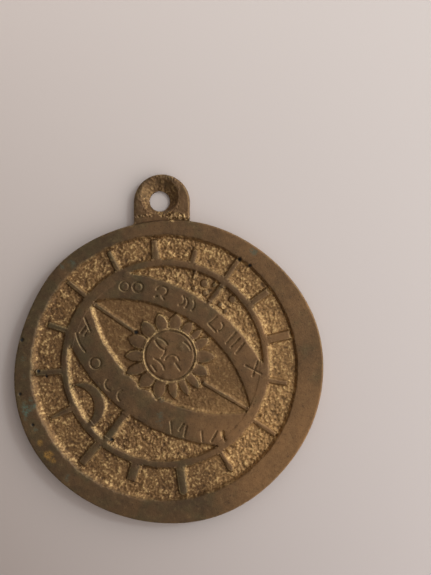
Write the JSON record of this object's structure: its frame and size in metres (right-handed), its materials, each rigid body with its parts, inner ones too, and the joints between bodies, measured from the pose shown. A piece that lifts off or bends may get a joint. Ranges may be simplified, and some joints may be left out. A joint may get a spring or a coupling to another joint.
{
  "type": "astrolabe medallion",
  "caption": "Round cast brass medallion with an astrolabe in relief: raised rim, ring of rays, band of zodiac signs and a sun face, with a holed lug to hang it by.",
  "frame": {"origin": "centre of the disc on its flat back", "axes": "+Z out of the face, +Y from the disc's centre towards the hanging lug, +X to the right seen from the face"},
  "size_m": [0.0607, 0.0687, 0.0035],
  "materials": {
    "sandy_ground": "sandy as-cast ground, brown patina in the hollows and bright grains",
    "worn_relief": "smooth worn brass with brown patina",
    "lug": "worn brass, brighter on its edges"
  },
  "bodies": {
    "root": {"back_plate": "sandy_ground", "hanging_lug": "lug", "rim": "worn_relief", "ring": "worn_relief", "sign_band_upper": "worn_relief", "sign_band_lower": "worn_relief", "axis_bar_upper": "worn_relief", "axis_bar_lower": "worn_relief", "equator_ridge_left": "worn_relief", "equator_ridge_right": "worn_relief", "sun_face": "worn_relief", "moon": "worn_relief", "ring_spur": "worn_relief", "ray_01": "worn_relief", "ray_02": "worn_relief", "ray_03": "worn_relief", "ray_04": "worn_relief", "ray_05": "worn_relief", "ray_06": "worn_relief", "ray_07": "worn_relief", "ray_08": "worn_relief", "ray_09": "worn_relief", "ray_10": "worn_relief", "ray_11": "worn_relief", "ray_12": "worn_relief", "ray_13": "worn_relief", "ray_14": "worn_relief", "ray_15": "worn_relief", "ray_16": "worn_relief", "petal_01": "worn_relief", "petal_02": "worn_relief", "petal_03": "worn_relief", "petal_04": "worn_relief", "petal_05": "worn_relief", "petal_06": "worn_relief", "petal_07": "worn_relief", "petal_08": "worn_relief", "petal_09": "worn_relief", "petal_10": "worn_relief", "petal_11": "worn_relief", "petal_12": "worn_relief", "petal_13": "worn_relief", "petal_14": "worn_relief", "petal_15": "worn_relief", "petal_16": "worn_relief", "star_1": "worn_relief", "star_2": "worn_relief", "star_3": "worn_relief", "star_4": "worn_relief", "star_5": "worn_relief", "star_6": "worn_relief", "star_7": "worn_relief"}
  },
  "joints": []
}
